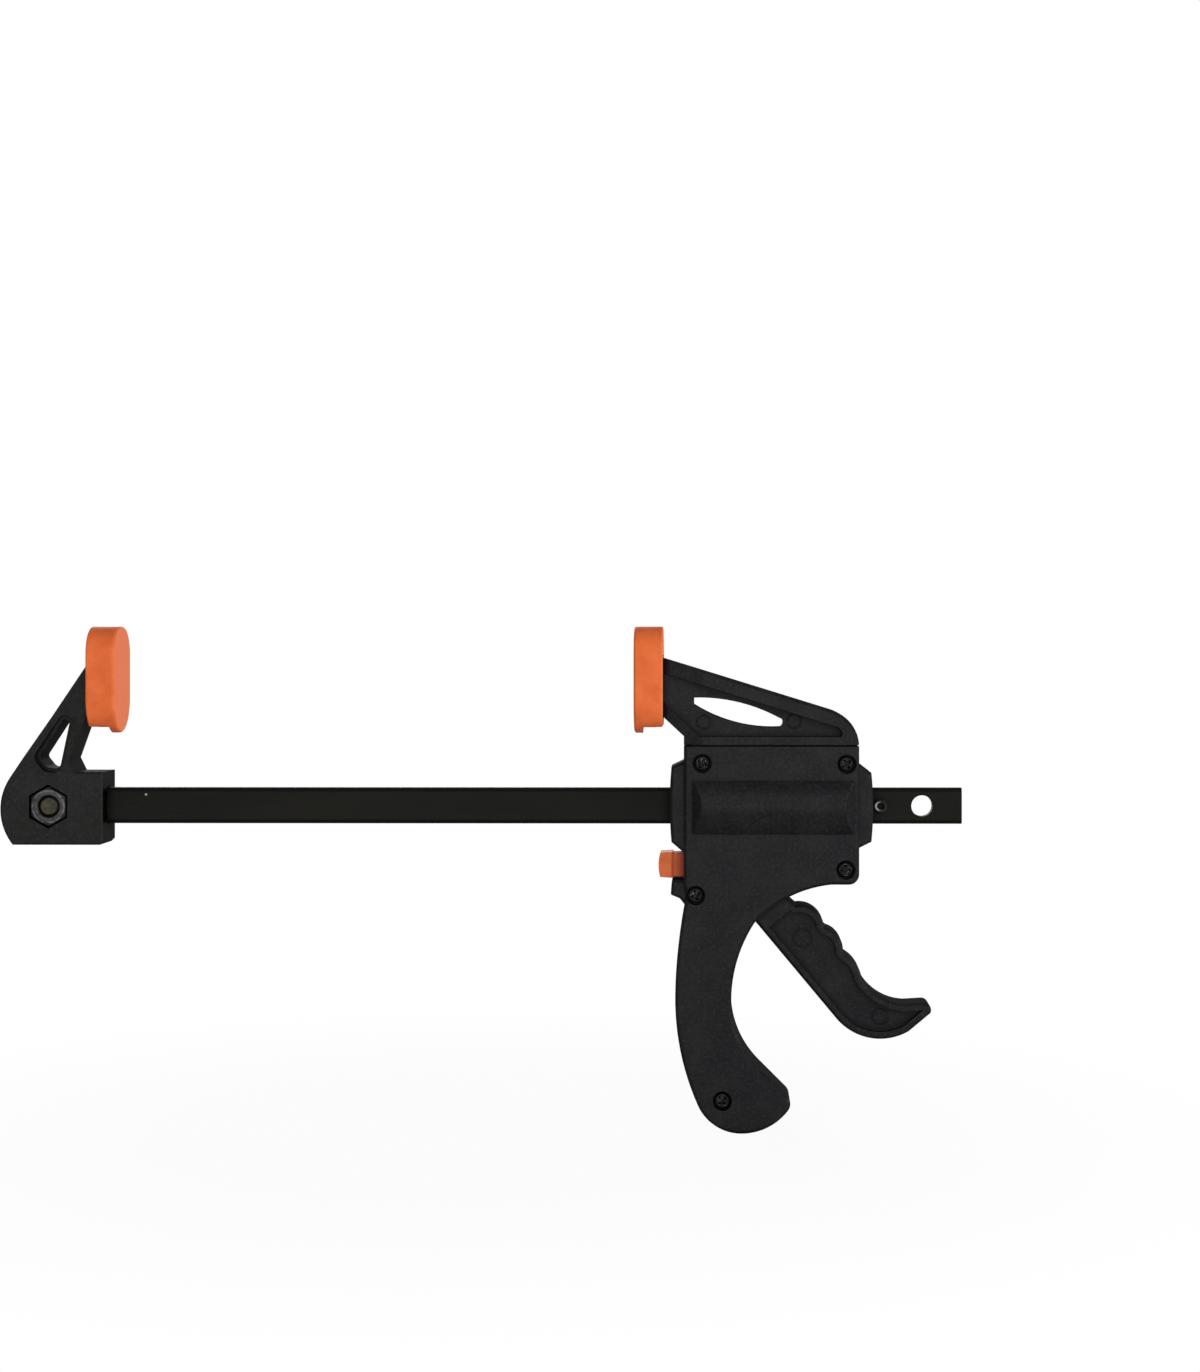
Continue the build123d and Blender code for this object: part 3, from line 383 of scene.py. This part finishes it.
FINISHES = {
    "bar_steel": bar_paint(),
    "pin_steel": pin_steel(),
    "black_nylon": nylon(),
    "pad_orange": orange("pad_finish", (0.69, 0.128, 0.031, 1), (0.8, 0.162, 0.043, 1), 0.66, 0.3 * MM,
                         face=1.0),
    "button_orange": orange("button_finish", (0.6, 0.125, 0.034, 1), (0.74, 0.165, 0.05, 1), 0.5, 0.3 * MM,
                            reach=1.2 * MM, neck=BUTTON_NECK),
    "knob_orange": orange("knob_finish", (0.66, 0.12, 0.03, 1), (0.80, 0.17, 0.05, 1), 0.46, 0.35 * MM),
    "zinc": zinc(),
    "bolt_brass": stud_steel(),
    "screw_black": screw_black(),
    "plate_steel": bare_steel("plate_finish", 0.32, 0.6, 0.38),
}

for node in frame["nodes"].values():
    for material_slot in node.material_slots:
        material_slot.material = FINISHES[material_slot.material.name]


# Pieces

SHARP_ANGLE = 32            # degrees between faces, above which their edge is sharp


def new_piece(name, mesh_maker, body, slot, *stands_for):
    """A piece from a bmesh, with its finish, riding on a body."""
    mesh = bpy.data.meshes.new(name)
    bm = bmesh.new()
    mesh_maker(bm)
    bmesh.ops.recalc_face_normals(bm, faces=bm.faces[:])
    for face in bm.faces:
        face.smooth = True
    bm.to_mesh(mesh)
    bm.free()
    mesh.set_sharp_from_angle(angle=radians(SHARP_ANGLE))
    piece = bpy.data.objects.new(name, mesh)
    bpy.context.scene.collection.objects.link(piece)
    mesh.materials.append(FINISHES[slot])
    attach(piece, body)
    if stands_for:
        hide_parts(*stands_for)
    return piece


def grid_faces(bm, rings, capped=False):
    """Quads between successive closed rings of vertices, and a face on both end rings if capped."""
    count = len(rings[0])
    for near, far in zip(rings, rings[1:]):
        for i in range(count):
            j = (i + 1) % count
            bm.faces.new((near[i], near[j], far[j], far[i]))
    if capped:
        bm.faces.new(rings[0])
        bm.faces.new(rings[-1])


def centre(node):
    """Middle of a CAD node's box."""
    low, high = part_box(node)
    return (low + high) / 2


# Stud with its thread

THREAD_PITCH = 1.0 * MM
THREAD_STEPS = 8            # rings of vertices for each turn of a thread
STUD_SIDES = 40
STUD_THREAD_DEPTH = 0.5 * MM
STUD_CHAMFER = 0.7 * MM


def thread_profile(phase):
    """Height of a thread with flat crests and roots, from 0 to 1, at a phase from 0 to 1."""
    return min(1, max(0, 1.35 - 2.7 * abs(phase - 0.5)))


def stud(bm):
    """Threaded stud along Y, with chamfered ends."""
    low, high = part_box("clamp_bolt")
    axis = centre("clamp_bolt")
    radius = (high.x - low.x) / 2
    steps = ceil((high.y - low.y) / THREAD_PITCH * THREAD_STEPS)
    rings = []
    for k in range(steps + 1):
        y = low.y + (high.y - low.y) * k / steps
        from_end = min(y - low.y, high.y - y)
        ring = []
        for i in range(STUD_SIDES):
            turn = 2 * pi * i / STUD_SIDES
            crest = thread_profile(((y - low.y) / THREAD_PITCH + i / STUD_SIDES) % 1)
            r = radius - STUD_THREAD_DEPTH * (1 - crest)
            r = min(r, radius - STUD_CHAMFER + from_end)
            ring.append(bm.verts.new((axis.x + r * sin(turn), y, axis.z + r * cos(turn))))
        rings.append(ring)
    grid_faces(bm, rings, capped=True)


new_piece("threaded_stud", stud, "wing_screw", "bolt_brass", "clamp_bolt")


# Nut with chamfered corners and its thread

NUT_SIDES = 96
NUT_BORE = 3.05 * MM            # radius
NUT_BORE_CHAMFER = 0.5 * MM
NUT_THREAD_DEPTH = 0.45 * MM
NUT_CORNER_CUT = 0.95           # end faces' radius, as a share of the distance to the flats
NUT_CORNER_SLOPE = 30           # of the cut corners, in degrees


def nut(bm):
    """Hexagonal nut along Y."""
    low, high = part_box("hex_nut")
    axis = centre("hex_nut")
    flats = (high.x - low.x) / 2
    corner_cut = flats * NUT_CORNER_CUT

    def hexagon(turn):
        """Radius of the flats."""
        return flats / cos((turn % (pi / 3)) - pi / 6)

    def ring(y, radius_at):
        """Vertices around the axis; y is a number or a function of the turn."""
        made = []
        for i in range(NUT_SIDES):
            turn = 2 * pi * i / NUT_SIDES
            r = radius_at(turn)
            made.append(bm.verts.new((axis.x + r * sin(turn), y(turn) if callable(y) else y,
                                      axis.z + r * cos(turn))))
        return made

    def drop(turn):
        """How far the cut corner lies below the end face."""
        return max(0, hexagon(turn) - corner_cut) * tan(radians(NUT_CORNER_SLOPE))

    steps = ceil((high.y - low.y) / THREAD_PITCH * THREAD_STEPS)
    rings = [
        ring(low.y, lambda turn: corner_cut),
        ring(lambda turn: low.y + drop(turn), hexagon),
        ring(lambda turn: high.y - drop(turn), hexagon),
        ring(high.y, lambda turn: corner_cut),
    ]
    for k in range(steps + 1):
        y = high.y + (low.y - high.y) * k / steps
        from_end = min(y - low.y, high.y - y)

        def thread(turn, y=y, from_end=from_end):
            groove = thread_profile(((y - low.y) / THREAD_PITCH + turn / (2 * pi)) % 1)
            return NUT_BORE + max(NUT_THREAD_DEPTH * groove, NUT_BORE_CHAMFER - from_end)

        rings.append(ring(y, thread))
    rings.append(rings[0])
    grid_faces(bm, rings)


new_piece("nut", nut, "bar_and_fixed_jaw", "zinc", "hex_nut")


# Housing screws with a cross recess

SCREW_RINGS = 30
SCREW_SIDES = 96
SCREW_CROSS = (1.55, 0.46, 0.95)  # half length and half width at its mouth, and depth, in mm
SCREW_CROSS_ENDS = 0.6            # length over which the recess rises to the head at its ends, in mm
SCREW_CROSS_SIDES = 0.16          # width of its sloping sides, in mm
SCREW_HEAD = (2.35, 1.8, 0.75)    # radius, height and edge rounding, in mm
SCREW_CROWN = 0.12                # middle of the head above its edge, in mm
SCREW_HEAD_EDGE = 0.2             # least thickness of the head, in mm
SCREW_SHANK = 1.45                # radius, in mm
SCREW_TURNS = (18, 63, 40, 5, 33)  # degrees, in the order of screw_places()


def screw_places():
    """Axes of the five screws, from the loose parts of their node."""
    bm = bmesh.new()
    bm.from_mesh(frame["nodes"]["housing_screws"].data)
    bmesh.ops.remove_doubles(bm, verts=bm.verts[:], dist=1e-6)
    left = set(bm.verts)
    places = []
    while left:
        todo = [left.pop()]
        island = []
        while todo:
            vert = todo.pop()
            island.append(vert.co.copy())
            for edge in vert.link_edges:
                other = edge.other_vert(vert)
                if other in left:
                    left.remove(other)
                    todo.append(other)
        xs = [co.x for co in island]
        zs = [co.z for co in island]
        places.append(((min(xs) + max(xs)) / 2, (min(zs) + max(zs)) / 2))
    bm.free()
    return sorted(places)


def recess_depth(x, z):
    """Depth of the cross recess, in mm, at a point of the head."""
    length, width, depth = SCREW_CROSS
    best = 0
    for a, b in ((abs(x), abs(z)), (abs(z), abs(x))):
        end = min(1, max(0, (length - a) / SCREW_CROSS_ENDS))
        side = min(1, max(0, (width - b) / SCREW_CROSS_SIDES))
        best = max(best, depth * end * side)
    return best


def screws(bm):
    """Five screws along Y with crowned heads."""
    radius, height, rounding = SCREW_HEAD
    low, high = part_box("housing_screws")
    seat = low.y + height * MM
    for (x, z), degrees in zip(screw_places(), SCREW_TURNS):
        turned = radians(degrees)
        rings = []
        for k in range(1, SCREW_RINGS + 1):
            r = radius * k / SCREW_RINGS
            ring = []
            for i in range(SCREW_SIDES):
                turn = 2 * pi * i / SCREW_SIDES
                px, pz = r * cos(turn), r * sin(turn)
                crown = SCREW_CROWN * (r / radius) ** 2
                past = max(0, r - (radius - rounding))
                crown += rounding - max(0, rounding ** 2 - past ** 2) ** 0.5 if past else 0
                a = px * cos(turned) + pz * sin(turned)
                b = pz * cos(turned) - px * sin(turned)
                y = seat + (crown + recess_depth(a, b) - height) * MM
                ring.append(bm.verts.new((x + px * MM, min(y, seat - SCREW_HEAD_EDGE * MM), z + pz * MM)))
            rings.append(ring)
        middle = bm.verts.new((x, seat + (SCREW_CROSS[2] - height) * MM, z))
        for i in range(SCREW_SIDES):
            bm.faces.new((middle, rings[0][(i + 1) % SCREW_SIDES], rings[0][i]))
        for r, y in ((radius, seat), (SCREW_SHANK, seat), (SCREW_SHANK, high.y)):
            rings.append([
                bm.verts.new((x + r * MM * cos(2 * pi * i / SCREW_SIDES), y,
                              z + r * MM * sin(2 * pi * i / SCREW_SIDES)))
                for i in range(SCREW_SIDES)
            ])
        grid_faces(bm, rings)
        bm.faces.new(rings[-1])


new_piece("housing_screw_set", screws, "moving_jaw", "screw_black", "housing_screws")


# Ejector marks in the arm's pocket and in the trigger's recess

MARK_WIDTH = 0.22 * MM
MARK_HEIGHT = 0.22 * MM
MARK_ROOT = 0.1 * MM        # below the surface
MARK_SIDES = 64
MARKS = {                   # place and radius, in mm, and body
    "arm_mark_near": ((170.3, -5.25, -12.2), 2.0, "moving_jaw"),
    "arm_mark_far": ((196.4, -5.25, -11.9), 2.0, "moving_jaw"),
    "trigger_mark_upper": ((199.0, -4.3, -74.9), 2.6, "trigger"),
    "trigger_mark_lower": ((221.4, -4.3, -97.6), 2.2, "trigger"),
}


def mark(place, radius):
    """Mesh maker for a low round ridge that stands towards -Y from a surface."""
    x, surface, z = (c * MM for c in place)
    middle = radius * MM

    def make(bm):
        profile = (
            (middle - MARK_WIDTH, MARK_ROOT),
            (middle - MARK_WIDTH, -0.3 * MARK_HEIGHT),
            (middle - MARK_WIDTH / 2, -MARK_HEIGHT),
            (middle + MARK_WIDTH / 2, -MARK_HEIGHT),
            (middle + MARK_WIDTH, -0.3 * MARK_HEIGHT),
            (middle + MARK_WIDTH, MARK_ROOT),
        )
        rings = []
        for k in range(MARK_SIDES):
            turn = 2 * pi * k / MARK_SIDES
            rings.append([
                bm.verts.new((x + r * cos(turn), surface + y, z + r * sin(turn)))
                for r, y in profile
            ])
        rings.append(rings[0])
        grid_faces(bm, rings)
    return make


for mark_name, (mark_place, mark_radius, mark_body) in MARKS.items():
    new_piece(mark_name, mark(mark_place, mark_radius), mark_body, "black_nylon")


# Lip inside the parting line, set back behind the visible groove, in mm

LIP_X = (165.6, 214.0)
LIP_Y = (-8.6, -0.2)
LIP_Z = (-19.12, -18.74)
LIP_CORNER = 1.4
LIP_RIB = (0.8, 0.16)       # depth and height of the rib along its outer edge


def parting_lip(bm):
    """Thin strip with cut corners and a rib along its outer edge."""
    (x0, x1), (y0, y1), (z0, z1) = LIP_X, LIP_Y, LIP_Z
    depth, height = LIP_RIB
    middle = (z0 + z1) / 2
    rib_low, rib_high = middle - height / 2, middle + height / 2

    def outline(inset, z):
        corners = (
            (x0 + inset, y0 + LIP_CORNER), (x0 + LIP_CORNER, y0 + inset),
            (x1 - LIP_CORNER, y0 + inset), (x1 - inset, y0 + LIP_CORNER),
            (x1 - inset, y1), (x0 + inset, y1),
        )
        return [bm.verts.new((x * MM, y * MM, z * MM)) for x, y in corners]

    rings = [outline(depth, z0), outline(depth, rib_low), outline(0, rib_low),
             outline(0, rib_high), outline(depth, rib_high), outline(depth, z1)]
    grid_faces(bm, rings, capped=True)


new_piece("parting_lip", parting_lip, "moving_jaw", "black_nylon")


# Drive spring around the bar; in the clamp it shortens as the drive plates come towards the housing's end,
# here it is built at one length

COIL_RADIUS = 7.4 * MM      # wire's centre line
COIL_WIRE = 0.5 * MM        # wire's radius
COIL_TURNS = 5
COIL_STEPS = 32             # rings of vertices for each turn
COIL_SIDES = 10


def drive_coils(bm):
    """Coil of round wire around the bar."""
    low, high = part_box("drive_spring")
    start, end = low.x + COIL_WIRE, high.x - COIL_WIRE
    rise = (end - start) / COIL_TURNS
    rings = []
    for i in range(COIL_TURNS * COIL_STEPS + 1):
        turn = 2 * pi * i / COIL_STEPS
        outward = Vector((0, cos(turn), sin(turn)))
        ahead = Vector((rise / (2 * pi), -COIL_RADIUS * sin(turn), COIL_RADIUS * cos(turn))).normalized()
        sideways = ahead.cross(outward)
        middle = Vector((start + rise * i / COIL_STEPS, 0, BAR_AXIS)) + outward * COIL_RADIUS
        rings.append([
            bm.verts.new(middle + (outward * cos(around) + sideways * sin(around)) * COIL_WIRE)
            for around in (2 * pi * k / COIL_SIDES for k in range(COIL_SIDES))
        ])
    grid_faces(bm, rings, capped=True)


spring = new_piece("drive_spring_coils", drive_coils, "moving_jaw", "plate_steel", "drive_spring")
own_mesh(spring)


# Stage

FLOOR_REACH = 3.0           # half its side, in metres
FLOOR_FADE = (0.12, 0.25)   # distances from the object's centre, in metres, over which it turns white
FLOOR_GLOW = 0.95           # share of white under the object
OBJECT_CENTRE = (cad_box[0] + cad_box[1]) / 2


def stage_material():
    """Pale floor that shows the object's shadow near it and is white further away."""
    s = Shader("stage_finish")
    path = s.node("ShaderNodeLightPath")
    seen = s.math("MAXIMUM", path.outputs["Is Camera Ray"], path.outputs["Is Glossy Ray"])
    seen = s.math("MAXIMUM", seen, path.outputs["Is Transmission Ray"])
    away = s.node("ShaderNodeVectorMath", operation="DISTANCE")
    s.feed(away.inputs[0], s.place)
    away.inputs[1].default_value = OBJECT_CENTRE
    share = s.span(away.outputs["Value"], FLOOR_FADE[0], FLOOR_FADE[1], FLOOR_GLOW, 1.0)
    grain = s.noise(0.05, 2, 0.5)
    colour = s.mix(grain, (0.6, 0.6, 0.6, 1), (0.64, 0.64, 0.64, 1))
    diffuse = s.node("ShaderNodeBsdfDiffuse", {"Color": colour})
    glow = s.node("ShaderNodeEmission", {"Color": (1, 1, 1, 1), "Strength": 1.0})
    mixed = s.node("ShaderNodeMixShader", {"Fac": s.math("MULTIPLY", seen, share)})
    s.tree.links.new(diffuse.outputs[0], mixed.inputs[1])
    s.tree.links.new(glow.outputs[0], mixed.inputs[2])
    s.tree.links.new(mixed.outputs[0], s.output.inputs[0])
    return s.material


def floor():
    """Square floor under the object."""
    corners = [
        (OBJECT_CENTRE.x + a * FLOOR_REACH, OBJECT_CENTRE.y + b * FLOOR_REACH, cad_box[0].z)
        for a, b in ((-1, -1), (1, -1), (1, 1), (-1, 1))
    ]
    mesh = bpy.data.meshes.new("floor")
    mesh.from_pydata(corners, [], [(0, 1, 2, 3)])
    mesh.materials.append(stage_material())
    made = bpy.data.objects.new("floor", mesh)
    bpy.context.scene.collection.objects.link(made)
    return made


floor()


# Light

WORLD_LIGHT = 0.1           # strength of the even light


def world():
    """White behind the object and in its reflections, and a dim even light on it."""
    made = bpy.data.worlds.new("studio")
    made.use_nodes = True
    tree = made.node_tree
    tree.nodes.clear()

    def highest(a, b):
        node = tree.nodes.new("ShaderNodeMath")
        node.operation = "MAXIMUM"
        tree.links.new(a, node.inputs[0])
        tree.links.new(b, node.inputs[1])
        return node.outputs[0]

    def background(strength):
        node = tree.nodes.new("ShaderNodeBackground")
        node.inputs["Color"].default_value = (1, 1, 1, 1)
        node.inputs["Strength"].default_value = strength
        return node.outputs[0]

    path = tree.nodes.new("ShaderNodeLightPath").outputs
    seen = highest(highest(path["Is Camera Ray"], path["Is Glossy Ray"]), path["Is Transmission Ray"])
    mixed = tree.nodes.new("ShaderNodeMixShader")
    out = tree.nodes.new("ShaderNodeOutputWorld")
    tree.links.new(seen, mixed.inputs[0])
    tree.links.new(background(WORLD_LIGHT), mixed.inputs[1])
    tree.links.new(background(1.0), mixed.inputs[2])
    tree.links.new(mixed.outputs[0], out.inputs[0])
    bpy.context.scene.world = made


def area_light(name, offset, size, power):
    """Rectangular lamp that looks at the object's centre; offset and (width, height) in metres."""
    data = bpy.data.lights.new(name, "AREA")
    data.shape = "RECTANGLE"
    data.size, data.size_y = size
    data.energy = power
    light = bpy.data.objects.new(name, data)
    light.location = OBJECT_CENTRE + Vector(offset)
    light.rotation_mode = "QUATERNION"
    light.rotation_quaternion = (-Vector(offset)).to_track_quat("-Z", "Y")
    bpy.context.scene.collection.objects.link(light)


world()
area_light("front", (0.06, -1.36, 0.02), (1.7, 0.28), 10.5)
area_light("key", (0.1, -1.2, 0.62), (0.7, 0.4), 4)
area_light("side", (1.35, -0.45, 0.12), (0.6, 0.6), 13)
area_light("back", (-0.4, 1.0, 0.45), (0.8, 0.6), 10)


# Camera: level, at the photograph's viewing angle, with the lens shifted to its frame

PHOTO_WIDTH, PHOTO_HEIGHT = 1200, 1372
FOCAL = 2445.0              # distance to the picture plane, in the photograph's pixels
AXIS_PIXEL = (715, 640)     # where a line straight across the clamp meets the photograph
TURNED = 27                 # turn about the vertical, in pixels on the picture plane
SENSOR = 36.0
CAMERA_PLACE = (0.1735, -0.714, 0.0116)

camera_data = bpy.data.cameras.new("camera")
camera_data.sensor_width = SENSOR
camera_data.lens = FOCAL / PHOTO_HEIGHT * SENSOR
camera_data.shift_x = -(AXIS_PIXEL[0] - TURNED - PHOTO_WIDTH / 2) / PHOTO_HEIGHT
camera_data.shift_y = -(PHOTO_HEIGHT / 2 - AXIS_PIXEL[1]) / PHOTO_HEIGHT
camera_data.clip_start = 0.01
camera = bpy.data.objects.new("camera", camera_data)
camera.location = CAMERA_PLACE
camera.rotation_euler = (pi / 2, 0, atan2(TURNED, FOCAL))
bpy.context.scene.collection.objects.link(camera)
bpy.context.scene.camera = camera

bpy.context.scene.view_settings.view_transform = "Standard"
